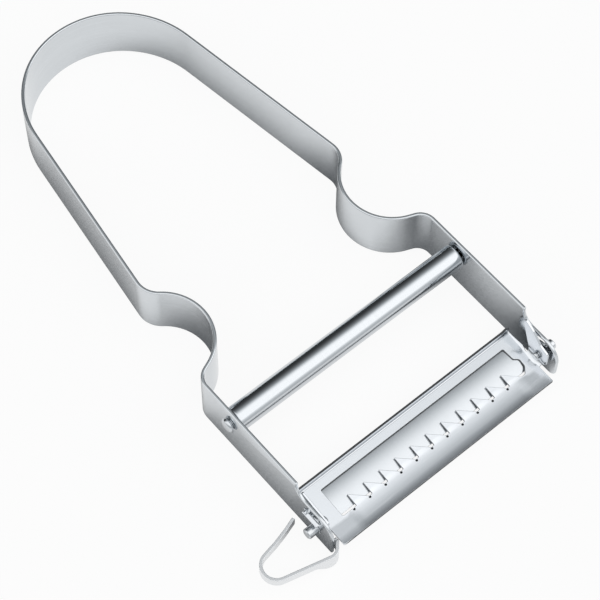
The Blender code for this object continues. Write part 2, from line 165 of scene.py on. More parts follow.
def divided(loop, levels, axis):
    """Adds a point wherever the outline crosses a level of u (axis 0) or v (axis 1).

    Its share of the segment = distance before the level / (that distance - distance after it), both signed.
    """
    after = np.roll(loop, -1, axis=0)
    here, there = loop[:, axis, None] - levels, after[:, axis, None] - levels
    segment, level = np.nonzero(here * there < -CROSSING)
    share = here[segment, level] / (here[segment, level] - there[segment, level])
    added = loop[segment] + share[:, None] * (after[segment] - loop[segment])
    added[:, axis] = levels[level]
    added[:, 2:] /= np.linalg.norm(added[:, 2:], axis=1)[:, None]
    order = np.argsort(np.concatenate([np.arange(len(loop)), segment + share]), kind="stable")
    return np.concatenate([loop, added])[order]


def ring_grid(rings, sides):
    """The numbers of the points in a stack of rings, and those of each one's neighbour round its ring."""
    index = np.arange(rings * sides).reshape(rings, sides)
    return index, np.roll(index, -1, axis=1)


def flipped(profile):
    """A turned profile of corners (x, radius, rounding) on the other side of x = 0."""
    return [(-x, radius, rounding) for x, radius, rounding in profile[::-1]]


def inside(points, starts, ends):
    """True where a line from the point towards +u crosses the outlines an odd number of times."""
    v = points[:, 1:2]
    crosses = (starts[:, 1] > v) != (ends[:, 1] > v)
    rise = ends[:, 1] - starts[:, 1]
    rise = np.where(np.abs(rise) < NO_RISE, NO_RISE, rise)
    met = starts[:, 0] + (v - starts[:, 1]) * (ends[:, 0] - starts[:, 0]) / rise
    return np.sum(crosses & (met > points[:, :1]), axis=1) % 2 == 1


# ---------------------------------------------------------------------------------------------
# Meshes
# ---------------------------------------------------------------------------------------------

class Shell:
    """Closed surfaces that make one piece: points, normals, faces, place on the flat blank and rim share."""

    def __init__(self):
        self.points, self.normals, self.lay, self.rim, self.faces = [], [], [], [], []
        self.count = 0

    def add(self, points, normals, faces, lay, rim):
        """Takes in one closed surface; its faces count from its own first point."""
        self.points.append(points)
        self.normals.append(normals)
        self.lay.append(lay)
        self.rim.append(rim)
        self.faces += [(f + self.count).tolist() for f in faces]
        self.count += len(points)
        return self

    def piece(self, name, finish):
        """The finished object, in metres, with its own normals and the attributes lay and rim."""
        mesh = bpy.data.meshes.new(name)
        faces = [face for block in self.faces for face in block]
        mesh.from_pydata((np.concatenate(self.points) * MM).tolist(), [], faces)
        lay = mesh.attributes.new("lay", "FLOAT_VECTOR", "POINT")
        lay.data.foreach_set("vector", np.concatenate(self.lay).astype(np.float32).ravel())
        rim = mesh.attributes.new("rim", "FLOAT", "POINT")
        rim.data.foreach_set("value", np.concatenate(self.rim).astype(np.float32))
        mesh.shade_smooth()
        mesh.normals_split_custom_set_from_vertices(np.concatenate(self.normals).tolist())
        mesh.materials.append(finish)
        made = bpy.data.objects.new(name, mesh)
        bpy.context.scene.collection.objects.link(made)
        return made


def surface_normals(place, u, v, w, flat):
    """Carries flat normals (nu, nv, nw) over to the bent plate.

    With A, B and C the slopes of place along u, v and w, the normal is nu B x C + nv C x A + nw A x B.
    """
    d = 1e-3
    a = place(u + d, v, w) - place(u - d, v, w)
    b = place(u, v + d, w) - place(u, v - d, w)
    c = place(u, v, w + d) - place(u, v, w - d)
    n = flat[:, :1] * np.cross(b, c) + flat[:, 1:2] * np.cross(c, a) + flat[:, 2:] * np.cross(a, b)
    return n / np.linalg.norm(n, axis=1)[:, None]


# A plate's rounded edge, from its upper face to its lower one: angles, and the face that each belongs to
EDGE_DEGREES = np.array([90, 60, 30, 0, 0, -30, -60, -90])
EDGE_FACES = np.array([1, 1, 1, 1, -1, -1, -1, -1])
RIB_SHIFT = np.array([0.0, 1.7e-5])


def plate(shell, loops, thick, place, u_levels=(), v_levels=(), edge=0.1, rim_shade=None):
    """Adds a plate cut to the outlines, with finely rounded edges, and bent by place(u, v, w).

    Edge point for an angle a: set back from the outline by edge (1 - cos a), at the level
    +-(thick / 2 - edge) + edge sin a, with the flat normal cos a outward + sin a upward. Ribs along the
    levels join neighbours on the outline where the middle between them, moved by a trace so that it isn't
    level with a corner, is inside the plate. The last argument, a function of (u, v), scales the rim share;
    on the carrier sheet it sets how much painted shade the cut edges get.
    """
    grids = [(0, np.asarray(u_levels, float)), (1, np.asarray(v_levels, float))]
    for axis, levels in grids:
        loops = [divided(loop, levels, axis) if len(levels) else loop for loop in loops]
    rows = np.concatenate(loops)
    count = len(rows)
    firsts = np.cumsum([0] + [len(loop) for loop in loops])
    after = np.arange(count) + 1
    after[firsts[1:] - 1] = firsts[:-1]
    outline, following = rows[:, :2], rows[after, :2]
    outward = np.stack([rows[:, 3], -rows[:, 2]], axis=1)

    angle, rings = np.radians(EDGE_DEGREES), len(EDGE_DEGREES)
    ring_uv = outline - (edge * (1 - np.cos(angle)))[:, None, None] * outward
    ring_w = np.repeat(EDGE_FACES * (thick / 2 - edge) + edge * np.sin(angle), count)
    along_plate = (np.cos(angle)[:, None, None] * outward).reshape(-1, 2)
    ring_flat = np.concatenate([along_plate, np.repeat(np.sin(angle), count)[:, None]], axis=1)
    index = np.arange(rings * count).reshape(rings, count)
    walls = np.stack([index[1:], index[1:, after], index[:-1, after], index[:-1]], axis=-1).reshape(-1, 4)

    ribs = []
    for axis, levels in grids:
        for level in levels:
            on = np.nonzero(np.abs(outline[:, axis] - level) < ON_LEVEL)[0]
            on = on[np.argsort(outline[on, 1 - axis])]
            middle = (outline[on[1:]] + outline[on[:-1]]) / 2
            keep = inside(middle + RIB_SHIFT, outline, following) if len(middle) else []
            ribs += [(a, b) for a, b, within in zip(on[:-1].tolist(), on[1:].tolist(), keep)
                     if within and after[a] != b and after[b] != a]
    inner_loop = ring_uv[0]
    edges = np.stack([np.arange(count), after], axis=1).tolist() + ribs
    spots, _, triangles, origins = delaunay_2d_cdt(inner_loop.tolist(), edges, [], 0, ON_LEVEL)[:4]
    spots, triangles = np.array(spots), np.array(triangles)
    centres = spots[triangles].mean(axis=1)
    triangles = triangles[inside(centres, inner_loop, inner_loop[after])]

    extra = [i for i, origin in enumerate(origins) if not origin]
    known = np.array([origin[0] if origin else -1 for origin in origins])
    more = len(extra)
    top, bottom = known.copy(), known + (rings - 1) * count
    top[extra] = rings * count + np.arange(more)
    bottom[extra] = rings * count + more + np.arange(more)

    uv = np.concatenate([ring_uv.reshape(-1, 2), spots[extra], spots[extra]])
    w = np.concatenate([ring_w, np.repeat([thick / 2, -thick / 2], more)])
    flat = np.concatenate([ring_flat, np.repeat([[0, 0, 1.0], [0, 0, -1.0]], more, axis=0)])
    u, v = uv.T
    rim = np.concatenate([np.repeat(np.cos(angle), count), np.zeros(2 * more)])
    # This scales the rim share; on the carrier sheet it sets the painted shade on cut edges.
    rim = rim * rim_shade(u, v) if rim_shade else rim
    return shell.add(place(u, v, w), surface_normals(place, u, v, w, flat),
                     [walls, top[triangles], bottom[triangles][:, ::-1]], np.stack([u, v, w], axis=1), rim)


def turned(shell, corners, centre, sides=48, steps=5):
    """Adds a turned solid about the X direction through centre (y, z).

    The profile runs through corners (x, radius, rounding) from pole to pole; a ring's point at the angle a is
    (x, centre + radius (cos a, sin a)), and its normal is (-dr, dx cos a, dx sin a).
    """
    rows = rounded(corners, steps, closed=False)
    rings = rows[1:-1]
    a = 2 * PI * np.arange(sides) / sides
    x, r, dx, dr = [column[:, None] * np.ones(sides) for column in rings.T]
    points = np.stack([x, centre[0] + r * np.cos(a), centre[1] + r * np.sin(a)], axis=-1).reshape(-1, 3)
    normals = np.stack([-dr, dx * np.cos(a), dx * np.sin(a)], axis=-1).reshape(-1, 3)
    lay = np.stack([x, r, r * a], axis=-1).reshape(-1, 3)
    poles = np.array([[rows[0, 0], *centre], [rows[-1, 0], *centre]])
    points = np.concatenate([points, poles])
    normals = np.concatenate([normals, [[-1.0, 0, 0], [1.0, 0, 0]]])
    lay = np.concatenate([lay, [[rows[0, 0], 0, 0], [rows[-1, 0], 0, 0]]])
    index, after = ring_grid(len(rings), sides)
    walls = np.stack([index[:-1], after[:-1], after[1:], index[1:]], axis=-1).reshape(-1, 4)
    low, high = len(points) - 2, len(points) - 1
    caps = [np.stack([np.full(sides, low), after[0], index[0]], axis=1),
            np.stack([np.full(sides, high), index[-1], after[-1]], axis=1)]
    return shell.add(points, normals, [walls] + caps, lay, np.zeros(len(points)))


# ---------------------------------------------------------------------------------------------
# Shader expressions
# ---------------------------------------------------------------------------------------------

class Value:
    """A shader socket in an expression: value * 2 + 1 adds its Math nodes, and so does 1 - value."""

    def __init__(self, recipe, socket):
        self.recipe, self.socket = recipe, socket

    def math(self, operation, *others):
        """A Math node on this value and the others."""
        inputs = dict(enumerate((self,) + others))
        return self.recipe.node("Math", {"operation": operation}, inputs)

    def __add__(self, other):
        return self.math("ADD", other)

    __radd__ = __add__

    def __mul__(self, other):
        return self.math("MULTIPLY", other)

    __rmul__ = __mul__

    def __sub__(self, other):
        return self.math("SUBTRACT", other)

    def __rsub__(self, other):
        return self.recipe.node("Math", {"operation": "SUBTRACT"}, {0: other, 1: self})

    def __truediv__(self, other):
        return self.math("DIVIDE", other)


class Recipe:
    """The node tree of one finish."""

    def __init__(self, tree):
        self.tree = tree
        tree.nodes.clear()

    def node(self, kind, settings=None, inputs=None, output=0):
        """Adds a node: its settings first, then the values or links of its sockets.

        A ramp's stops are (place, grey level).
        """
        made = self.tree.nodes.new("ShaderNode" + kind)
        for key, setting in (settings or {}).items():
            if key == "stops":
                ramp = made.color_ramp
                while len(ramp.elements) < len(setting):
                    ramp.elements.new(1.0)
                for element, (spot, level) in zip(ramp.elements, setting):
                    element.position, element.color = spot, grey(level)
            else:
                setattr(made, key, setting)
        for key, value in (inputs or {}).items():
            if isinstance(value, Value):
                self.tree.links.new(value.socket, made.inputs[key])
            else:
                made.inputs[key].default_value = value
        return Value(self, made.outputs[output]) if made.outputs else None

    def scaled(self, vector, factors):
        """A vector or colour with each of its parts multiplied."""
        return self.node("VectorMath", {"operation": "MULTIPLY"}, {0: vector, 1: factors})

    def noise(self, vector, scale=1.0, detail=2.0, rough=0.5):
        """Soft noise from 0 to 1."""
        inputs = {"Vector": vector, "Scale": scale, "Detail": detail, "Roughness": rough}
        return self.node("TexNoise", {}, inputs)

    def step(self, value, low, high):
        """0 below low and 1 above high, smooth between."""
        return self.node("MapRange", {"interpolation_type": "SMOOTHSTEP"},
                         {"Value": value, "From Min": low, "From Max": high})

    def colour(self, share, first, second):
        """The first colour at share 0 and the second at 1; a colour mix has its colours at 6 and 7."""
        return self.node("Mix", {"data_type": "RGBA"}, {0: share, 6: first, 7: second}, output=2)


def grey(level):
    """A neutral colour."""
    return level, level, level, 1.0


def shade(colour, factor):
    """A colour made lighter or darker."""
    return (*[min(1.0, c * factor) for c in colour[:3]], 1.0)


# The rim share over which a cut edge's look comes in, and the height of the full grain
RIM_FADE = 0.23
GRAIN_HEIGHT = 0.02 * MM


def steel(name, colour, roughness, grain, grain_depth, cloud=0.04, rim_colour=0.62, rim_roughness=0.42,
          rim_from=0.75, crease_shade_line=None):
    """A steel finish with fine grain, soft clouding, hairline scratches and its own look on cut edges; a low
    rim_colour paints shade there.

    The grain is noise on the blank's own distances, stretched by grain = (along, across, through).
    Roughness = the written one + grain, cloud and scratch shares, and it moves to rim_roughness on cut edges,
    where the rim share passes rim_from; there the colour is multiplied by rim_colour. The last argument, when
    given, puts a painted shadow line, about 0.2 mm wide, along a fold's crease at this distance across the
    blank.
    """
    made = bpy.data.materials.new(name)
    made.use_nodes = True
    r = Recipe(made.node_tree)
    lay = r.node("Attribute", {"attribute_name": "lay"}, output="Vector")
    rim = r.node("Attribute", {"attribute_name": "rim"}, output="Fac")
    place = r.node("TexCoord", output="Object")
    fine = r.noise(r.scaled(lay, grain), 1.0, 3.0, 0.6)
    clouds = r.noise(place, 160.0, 3.0, 0.55)
    long_lines = r.noise(r.scaled(lay, tuple(0.35 * g for g in grain)), 1.0, 2.0, 0.5)
    scratch = r.step(long_lines, 0.60, 0.72) * r.step(clouds, 0.45, 0.6)
    cut = r.step(rim, rim_from, rim_from + RIM_FADE)
    shear = r.noise(r.scaled(lay, (9.0, 9.0, 0.6)), 1.0, 2.0, 0.5)
    body = r.colour(fine, shade(colour, 0.94), shade(colour, 1.05))
    body = r.colour(clouds * 0.35, body, shade(colour, 0.9))
    body = r.colour(scratch * 0.3, body, shade(colour, 1.1))
    # Cut edges take rim_colour; a very low one, as on the carrier sheet, is painted shade.
    body = r.colour(cut * (0.85 + 0.15 * shear), body, shade(colour, rim_colour))
    # Painted shadow: a dark line, about 0.2 mm wide, along a fold's crease.
    if crease_shade_line:
        across = r.node("SeparateXYZ", {}, {0: lay}, output="Y")
        crease_shade = (r.step(across, crease_shade_line - 0.12, crease_shade_line - 0.02)
                * (1 - r.step(across, crease_shade_line + 0.1, crease_shade_line + 0.2)))
        body = r.colour(crease_shade * 0.6, body, shade(colour, 0.5))
    dull = roughness + 0.07 * (fine - 0.5) + cloud * (clouds - 0.5) + 0.06 * scratch
    dull = dull + cut * (rim_roughness - roughness) + cut * 0.08 * (shear - 0.5)
    height = fine * 0.6 + clouds * 0.4 + cut * shear * 1.5
    bump = r.node("Bump", {}, {"Height": height, "Strength": grain_depth, "Distance": GRAIN_HEIGHT})
    shader = r.node("BsdfPrincipled", {}, {
        "Base Color": body, "Metallic": 1.0, "Roughness": dull, "Normal": bump})
    r.node("OutputMaterial", {}, {"Surface": shader})
    return made


strip_steel = steel("satin_strip_steel", (0.70, 0.73, 0.755), roughness=0.15, grain=(0.04, 4.0, 4.0),
                    grain_depth=0.12, rim_colour=0.9, rim_roughness=0.22)
bar_steel = steel("polished_bar_steel", (0.655, 0.68, 0.705), roughness=0.10, grain=(3.0, 0.05, 0.05),
                  grain_depth=0.10, cloud=0.03)
blade_steel = steel("ground_blade_steel", (0.63, 0.655, 0.68), roughness=0.18, grain=(5.0, 0.15, 4.0),
                    grain_depth=0.2)
pin_steel = steel("turned_pin_steel", (0.68, 0.70, 0.72), roughness=0.20, grain=(12.0, 0.1, 0.1),
                  grain_depth=0.3)
loop_steel = steel("narrow_strip_steel", (0.85, 0.865, 0.88), roughness=0.26, grain=(0.06, 4.0, 4.0),
                   grain_depth=0.15, rim_colour=0.9)


# ---------------------------------------------------------------------------------------------
# The bow strip
# ---------------------------------------------------------------------------------------------

STRIP_WIDTH, STRIP_THICK, STRIP_EDGE = 14.0, 0.8, 0.3
BOW = Line((0.0, 0.0), 0.0, [
    bend(20.4, -45), bend(22.7, -37.2), straight(43.4), bend(5.4, -60), bend(11.2, 120),
    straight(1.5), bend(3.6, -67.8), straight(39.5)])
HALF = BOW.length
ARM_X, ARM_END_Y = BOW.x[-1], BOW.y[-1]
INNER_X, OUTER_X = ARM_X - STRIP_THICK / 2, ARM_X + STRIP_THICK / 2
# Each arm ends in a lower foot, and the left one reaches a little further
FOOT_LENGTH, FOOT_HEIGHT, LEFT_TIP = 11.0, 10.1, 0.4
BAR_Y, BAR_Z, BAR_RADIUS, BAR_HOLE = ARM_END_Y + 31.6, 9.4, 2.9, 1.35
PIVOT_Y, PIVOT_Z, PIN_HOLE = ARM_END_Y + 4.5, 4.6, 1.4
# The stop slot's arc about the pivot: radius, half width, and its ends in degrees
STOP_RADIUS, STOP_SLOT, STOP_FIRST, STOP_LAST = 4.0, 0.85, 44.0, 94.0


def on_bow(u, v, w):
    """Distance u along the strip from the crown's middle, height v, depth w towards the inside.

    x = line x + w sin(heading), mirrored where u < 0, and y = line y - w cos(heading).
    """
    x, y, heading = BOW.at(np.abs(u))
    side = np.where(u < 0, -1.0, 1.0)
    return np.stack([side * (x + w * np.sin(heading)), y - w * np.cos(heading), v], axis=-1)


def on_left_arm(loop):
    """An outline in (y, z) as one on the left arm of the strip, where u = y - arm end - half length."""
    return loop - np.array([ARM_END_Y + HALF, 0.0, 0.0, 0.0])


def make_bow():
    """The bent strip: two long edges, lower rounded feet, and holes for bar, pins and stops."""
    left_end, end, step = -HALF - LEFT_TIP, HALF, HALF - FOOT_LENGTH
    outline = rounded([
        (left_end, 0.0, 0.35), (end, 0.0, 1.6), (end, FOOT_HEIGHT, 4.6), (step, FOOT_HEIGHT, 2.8),
        (step, STRIP_WIDTH, 0.3), (-step, STRIP_WIDTH, 0.3), (-step, FOOT_HEIGHT, 2.8),
        (left_end, FOOT_HEIGHT, 4.6)], steps=10)
    holes = [round_hole((BAR_Y, BAR_Z), BAR_HOLE), round_hole((PIVOT_Y, PIVOT_Z), PIN_HOLE),
             bent_slot((PIVOT_Y, PIVOT_Z), STOP_RADIUS, STOP_SLOT, STOP_FIRST, STOP_LAST)]
    left = [on_left_arm(hole) for hole in holes]
    stops = BOW.stops()[1:-1]
    levels = np.concatenate([-stops[::-1], [0.0], stops])
    shell = plate(Shell(), [outline] + left + [mirrored(hole) for hole in left], STRIP_THICK, on_bow,
                  u_levels=levels, edge=STRIP_EDGE)
    return shell.piece("bent_bow_strip", strip_steel)


# ---------------------------------------------------------------------------------------------
# The cross bar
# ---------------------------------------------------------------------------------------------

def make_bar():
    """A polished bar with shouldered ends and domed rivet heads outside the arms."""
    shoulder, head, tip = INNER_X - 0.3, OUTER_X + 0.3, OUTER_X + 1.3
    right = [(shoulder, BAR_RADIUS, 0.5), (shoulder, 1.2, 0.12), (head, 1.2, 0.1), (head, 1.85, 0.25),
             (tip - 0.1, 1.6, 0.8), (tip, 0.0, 0.0)]
    shell = turned(Shell(), flipped(right) + right, (BAR_Y, BAR_Z), sides=72, steps=6)
    return shell.piece("polished_cross_bar", bar_steel)


# ---------------------------------------------------------------------------------------------
# The blade carrier
# ---------------------------------------------------------------------------------------------

# Millimetres and degrees, with y and z from the pivot
TILT, SHEET_THICK = 7.0, 0.5
LIP_START, SHEET_DROP = -1.4, 1.8
LIP_BENDS = [bend(11.0, 10.0), bend(26.0, 6.1)]
FLANGE_BACK, FLANGE_RADIUS, FLANGE_HEIGHT = 8.3, 0.6, 1.1
WINDOW_X, WINDOW_FRONT, WINDOW_BACK = 25.175, -1.1, 5.9
TEETH, TOOTH_PITCH, TOOTH_LENGTH, TOOTH_BASE, TOOTH_OFFSET = 11, 4.23, 3.0, 3.4, -0.4
TOOTH_BEND, TOOTH_SOFT, TOOTH_TWIST, TWIST_REACH = 2.5, 0.25, 0.05, 0.7
PIT_Y, PIT_ASIDE, PIT_RADIUS, PIT_WALL = -1.37, 0.85, 0.25, 0.1
LIP_CREASE, CREASE_FROM, DIP_DEPTH = 0.085, 21.5, 0.12
SLOPE_COS, SLOPE_SIN = np.cos(np.radians(TILT)), np.sin(np.radians(TILT))
BACK_END, LIP_END, EAR_GAP, EAR_HOLE = 29.0, 28.65, 0.6, 0.75
EAR_MIDDLE_X = INNER_X - EAR_GAP - SHEET_THICK / 2
LEFT_FOLD, RIGHT_FOLD, WIDE_FOLD = 0.6, 1.25, 0.4
PEG_RADIUS, PEG_REACH = 0.55, 0.8
TAB_GAP, TAB_HEIGHT, TAB_SLOPE, TAB_THICK = 0.1, 2.9, 0.27, 0.3


def carrier_line():
    """The middle of the sheet in (y, z) about the pivot, from lip edge over window and back bar to flange."""
    heading = np.radians(TILT) - sum(turn for _, turn in LIP_BENDS)
    lip = Line((0.0, 0.0), heading, LIP_BENDS)
    run = (FLANGE_BACK - LIP_START - FLANGE_RADIUS * (1 - SLOPE_SIN)) / SLOPE_COS
    return Line((LIP_START - lip.x[-1], -SHEET_DROP - lip.y[-1]), heading, LIP_BENDS + [
        straight(run), bend(FLANGE_RADIUS, 90 - TILT), straight(FLANGE_HEIGHT)])


SHEET = carrier_line()
LIP_LENGTH = SHEET.stations[2]
# Its near-black cut edges (rim_colour 0.06) are painted shade: the dark lines along edges, teeth and window.
sheet_steel = steel("bright_sheet_steel", (0.745, 0.77, 0.80), roughness=0.17, grain=(0.15, 4.0, 4.0),
                    grain_depth=0.2, cloud=0.03, rim_colour=0.06, rim_from=0.3,
                    # The line at the flange's bend is painted shadow.
                    crease_shade_line=float(SHEET.stations[3]))


def along(y):
    """Distance along the sheet from the lip's edge, where its flat part is y behind the pivot."""
    return LIP_LENGTH + (y - LIP_START) / SLOPE_COS


def eased(share):
    """A smooth step: 3 s^2 - 2 s^3 for a share s kept between 0 and 1."""
    s = np.clip(share, 0, 1)
    return s * s * (3 - 2 * s)


def fold_radius(u, v):
    """The left ear is folded tightly; the right one's bend is widest near its front foot.

    Right radius = its least + extra * rise over y from -1.6 to 0 * fall over y from 0 to 6.
    """
    y = LIP_START + (v - LIP_LENGTH) * SLOPE_COS
    wide = RIGHT_FOLD + WIDE_FOLD * eased((y + 1.6) / 1.6) * (1 - eased(y / 6.0))
    return np.where(u < 0, LEFT_FOLD, wide)


def tooth_sides():
    """Where the upright side of each tooth stands along X."""
    return TOOTH_OFFSET + (np.arange(TEETH) - (TEETH - 1) / 2) * TOOTH_PITCH


def tooth_rise(u, v):
    """How far a tooth stands above the sheet: tan(bend) * softened reach, and a twist on its upright side.

    Softened reach = (sqrt(reach^2 + softness^2) + reach) / 2, and the twist grows with it.
    """
    base = along(WINDOW_FRONT)
    reach = v - base
    soft = (np.sqrt(reach ** 2 + TOOTH_SOFT ** 2) + reach) / 2
    sides = tooth_sides()
    which = np.clip(np.searchsorted(sides, u + 0.05, side="right") - 1, 0, TEETH - 1)
    across = np.clip((u - sides[which]) / TOOTH_BASE, 0, 1)
    lift = np.tan(np.radians(TOOTH_BEND)) * soft
    lift = lift + TOOTH_TWIST * (1 - across) * np.clip(soft / TWIST_REACH, 0, 1)
    near_teeth = (np.abs(u) < WINDOW_X - 0.2) & (reach > -1.2) & (reach < TOOTH_LENGTH + 1.5)
    return np.where(near_teeth, lift, 0.0)


def lip_rise(u, v):
    """Near its ends the lip leaves the sheet with a crease: slope * share * reach * (1 - reach / length)."""
    reach = np.clip(LIP_LENGTH - v, 0, LIP_LENGTH)
    return LIP_CREASE * eased((np.abs(u) - CREASE_FROM) / 3.0) * reach * (1 - reach / LIP_LENGTH)


def end_dip(u, v):
    """A shallow pressed hollow beside the right ear: depth * rise and fall over u * rise over v."""
    rise, fall = eased((u - 26.8) / 1.5), 1 - eased((u - 28.6) / 1.0)
    return DIP_DEPTH * rise * fall * eased((v - along(-1.6)) / 1.6)


def on_carrier(u, v, w):
    """Place of a point of the flat blank: u along X, v from the lip's edge, w above the middle of the sheet.

    Past the fold an ear turns up: with f = (|u| - fold) / radius, up to a quarter turn,
    x = fold + (radius - w) sin f and height = radius - (radius - w) cos f, then straight on. The sheet's own
    line gives y and z, from which the height is set off square to the sheet.
    """
    side = np.where(u < 0, -1.0, 1.0)
    radius = fold_radius(u, v)
    fold = EAR_MIDDLE_X - radius
    past = np.abs(u) - fold
    f = np.clip(past / radius, 0, PI / 2)
    rest = np.maximum(past - radius * PI / 2, 0)
    x = np.where(past > 0, fold + (radius - w) * np.sin(f), np.abs(u))
    height = radius - (radius - w) * np.cos(f) + rest + tooth_rise(u, v) + lip_rise(u, v) - end_dip(u, v)
    y, z, heading = SHEET.at(v)
    flat_heading = np.where(past > 0, np.radians(TILT), heading)
    return np.stack([side * x, PIVOT_Y + y - height * np.sin(flat_heading),
                     PIVOT_Z + z + height * np.cos(flat_heading)], axis=-1)


def on_blank(side, y, z):
    """A point (y, z) about the pivot, on the ear of this side (-1 or 1), as (u, v) on the flat blank.

    It undoes on_carrier on the middle of the sheet: (y, z) turned back by the tilt gives v and the height,
    and u is where the folded ear reaches that height.
    """
    ahead = y * SLOPE_COS + z * SLOPE_SIN
    start = LIP_START * SLOPE_COS - SHEET_DROP * SLOPE_SIN
    height = -y * SLOPE_SIN + z * SLOPE_COS - (-LIP_START * SLOPE_SIN - SHEET_DROP * SLOPE_COS)
    v = LIP_LENGTH + ahead - start
    radius = float(fold_radius(side, v))
    f = np.arccos(np.clip(1 - height / radius, 0, 1))
    return side * (EAR_MIDDLE_X - radius + radius * f + max(height - radius, 0.0)), v


def window_loop():
    """The window with its teeth: back edge, right side with its bulge, each pointed tooth, left side."""
    corners = [(-WINDOW_X, along(WINDOW_BACK), 0.3), (WINDOW_X, along(WINDOW_BACK), 0.3),
               (WINDOW_X + 0.2, along(2.9), 0.5), (WINDOW_X + 1.25, along(2.1), 0.7),
               (WINDOW_X + 1.15, along(0.3), 0.8), (WINDOW_X, along(WINDOW_FRONT), 0.4)]
    base = along(WINDOW_FRONT)
    for side in tooth_sides()[::-1].tolist():
        corners += [(side + TOOTH_BASE, base, 0.2), (side, base + TOOTH_LENGTH, 0.05), (side, base, 0.08)]
    corners += [(-WINDOW_X, base, 0.4)]
    return rounded(corners, steps=4)


# The ears' outlines from the side, as (y, z, rounding)
RIGHT_EAR = [(-1.75, -1.45, 0.5), (-2.7, -0.9, 0.5), (-2.7, 3.3, 1.0), (-0.4, 4.1, 1.5), (2.2, 6.9, 1.0),
             (5.75, 9.2, 0.6), (2.4, -0.7, 1.0)]
LEFT_EAR = [(7.5, -0.1, 0.3), (6.4, 4.1, 0.5), (-2.0, 2.5, 1.0), (-2.3, -0.9, 0.5), (-1.75, -1.45, 0.5)]


def ear_corners(side, spots):
    """An ear's corners on the flat blank, in the order of its spots (y, z, rounding)."""
    return [(*on_blank(side, y, z), radius) for y, z, radius in spots]


def add_shade_pits(shell, spots, sides=16):
    """Adds a small closed pit below each spot, coloured near-black as painted shade: its profile turned about
    the sheet's normal.

    A ring's point at the angle a is (u, v) = spot + radius (cos a, sin a) at the profile's level w.
    """
    under = SHEET_THICK / 2
    inner, outer, top = PIT_RADIUS, PIT_RADIUS + PIT_WALL, 0.02 - under
    rows = rounded([(0.0, -under - 0.36, 0.0), (inner, -under - 0.32, 0.1), (inner, top, 0.01),
                    (outer, top, 0.01), (outer, -under - 0.42, 0.16), (0.0, -under - 0.46, 0.0)],
                   steps=3, closed=False)
    rings, a = rows[1:-1], 2 * PI * np.arange(sides) / sides
    index, after = ring_grid(len(rings), sides)
    low, high = index.size, index.size + 1
    faces = [np.stack([index[:-1], index[1:], after[1:], after[:-1]], axis=-1).reshape(-1, 4),
             np.stack([np.full(sides, low), index[0], after[0]], axis=1),
             np.stack([np.full(sides, high), after[-1], index[-1]], axis=1)]
    out, lift = -rings[:, 3:], rings[:, 2:3] * np.ones(sides)
    flat = np.stack([out * np.cos(a), out * np.sin(a), lift], axis=-1).reshape(-1, 3)
    flat = np.concatenate([flat, [[0, 0, 1.0], [0, 0, -1.0]]])
    for u0, v0 in spots:
        u = np.append((u0 + rings[:, :1] * np.cos(a)).ravel(), [u0, u0])
        v = np.append((v0 + rings[:, :1] * np.sin(a)).ravel(), [v0, v0])
        w = np.append(np.repeat(rings[:, 1], sides), [rows[0, 1], rows[-1, 1]])
        # A full rim share gives the whole pit the sheet's near-black edge colour: painted shade.
        shell.add(on_carrier(u, v, w), surface_normals(on_carrier, u, v, w, flat), faces,
                  np.stack([u, v, w], axis=1), np.ones(len(u)))


def sheet_edge_shade(u, v):
    """How much painted shade the sheet's cut edge gets, as 1 - the larger of the ends' and the teeth's
    shares.

    The painted shade is full along lip, flange and window, less on the teeth and least on the ears.
    """
    ends = 0.8 * eased((np.abs(u) - 28.3) / 0.5) * (1 - eased((v - SHEET.length + 1.0) / 0.5))
    reach = v - along(WINDOW_FRONT)
    teeth = 0.55 * (np.abs(u) < WINDOW_X - 0.5) * (reach > -0.3) * (reach < TOOTH_LENGTH + 0.3)
    return 1 - np.maximum(ends, teeth)


def on_stop_tab(u, v, w):
    """The tab on the left stop peg: u backwards from the pivot, v outwards and a little down, w upwards."""
    z = PIVOT_Z + TAB_HEIGHT + w - TAB_SLOPE * v
    return np.stack([-(OUTER_X + TAB_GAP + v), PIVOT_Y + u, z], axis=-1)


def carrier_levels():
    """Levels of u and v that divide the blank, close together at folds, creases, hollow and teeth."""
    front = along(WINDOW_FRONT)
    tooth = [-0.3, -0.1, 0.1, 0.3, 0.6, 1.2, 2.0, 2.8, 3.6, 4.4, 5.2, 6.0]
    v_levels = np.concatenate([SHEET.stops(2.0)[1:-1], front + np.array(tooth)])
    right_start = EAR_MIDDLE_X - RIGHT_FOLD - WIDE_FOLD
    right = right_start + (RIGHT_FOLD * PI / 2 + 2 * WIDE_FOLD) * np.linspace(0, 1, 19)
    left = EAR_MIDDLE_X - LEFT_FOLD * (1 - PI / 2 * np.linspace(0, 1, 9))
    crease = CREASE_FROM + np.array([0.0, 1.0, 2.0, 3.0, 4.0, 4.9])
    hollow = [26.7, 26.95, 27.2, 27.45, 27.7]
    return np.concatenate([-left[::-1], -crease[::-1], crease, hollow, right]), v_levels


def add_stops(shell):
    """Adds the two stop pegs on the ears and the small tab outside the left arm."""
    stop = np.radians(STOP_FIRST)
    centre = (PIVOT_Y + STOP_RADIUS * np.cos(stop), PIVOT_Z + STOP_RADIUS * np.sin(stop))
    root, tip = EAR_MIDDLE_X, OUTER_X + PEG_REACH
    peg = [(root, 0.0, 0.0), (root, PEG_RADIUS, 0.05), (tip, PEG_RADIUS, 0.15), (tip, 0.0, 0.0)]
    turned(shell, peg, centre, sides=32, steps=4)
    turned(shell, flipped(peg), centre, sides=32, steps=4)
    tab = rounded([(-1.2, 0.0, 0.1), (3.1, 0.0, 0.1), (3.5, 0.8, 0.1), (-0.9, 0.8, 0.1)], steps=3)
    plate(shell, [tab], TAB_THICK, on_stop_tab, edge=0.08, rim_shade=lambda u, v: 0 * u)


